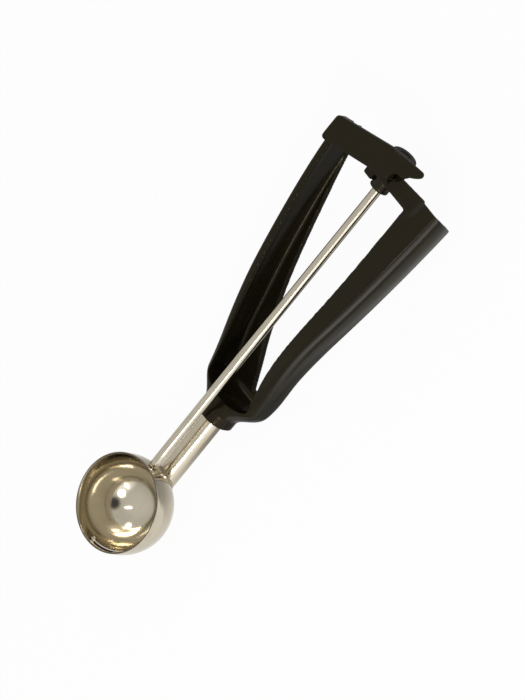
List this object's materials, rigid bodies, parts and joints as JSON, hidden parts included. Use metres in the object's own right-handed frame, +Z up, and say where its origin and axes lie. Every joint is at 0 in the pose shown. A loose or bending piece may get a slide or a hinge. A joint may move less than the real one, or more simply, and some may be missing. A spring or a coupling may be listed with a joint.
{
  "type": "lever ice cream scoop",
  "caption": "Squeeze-handle portion scoop: a moulded wishbone handle works a rack and pinion that turns a spindle and sweeps a blade round a steel half-ball bowl.",
  "frame": {"origin": "centre of the bowl's ball, on the spindle's axis", "axes": "+Y along the spindle from the bowl to the handle, +Z up out of the bowl's mouth, +X towards the fixed leg"},
  "size_m": [0.0716, 0.2396, 0.0339],
  "materials": {
    "polished_steel": "mirror-polished stainless steel",
    "satin_steel": "bright drawn stainless tube",
    "weld_steel": "smooth bright weld fillet",
    "rod_steel": "bright drawn stainless rod",
    "black_moulding": "glossy injection-moulded black plastic",
    "black_bush": "semi-matt moulded black plastic"
  },
  "bodies": {
    "frame": {"bowl": "polished_steel", "shank_tube": "satin_steel", "shank_weld": "weld_steel", "handle_frame": "black_moulding", "flex_web": "black_moulding", "arm_bearing": "black_bush", "thrust_washer": "rod_steel"},
    "lever": {"squeeze_lever": "black_moulding", "gear_rack": "black_bush"},
    "spindle": {"spindle_rod": "rod_steel", "pinion": "black_bush", "sweeper_blade": "polished_steel", "far_pivot": "rod_steel"}
  },
  "joints": [
    {"name": "squeeze", "type": "hinge", "parent": "frame", "child": "lever", "pos_m": [0, 0.062, 0], "axis": [0, 0, -1], "range_deg": [0, 6.43], "stiffness_Nm_per_rad": 8, "springref_deg": -1.72, "deforming": ["flex_web"]},
    {"name": "spindle_turn", "type": "hinge", "parent": "frame", "child": "spindle", "pos_m": [0, 0, 0], "axis": [0, 1, 0], "range_deg": [0, 166]}
  ],
  "couplings": [
    {"joint": "spindle_turn", "follows": "squeeze", "ratio": 25.8}
  ]
}
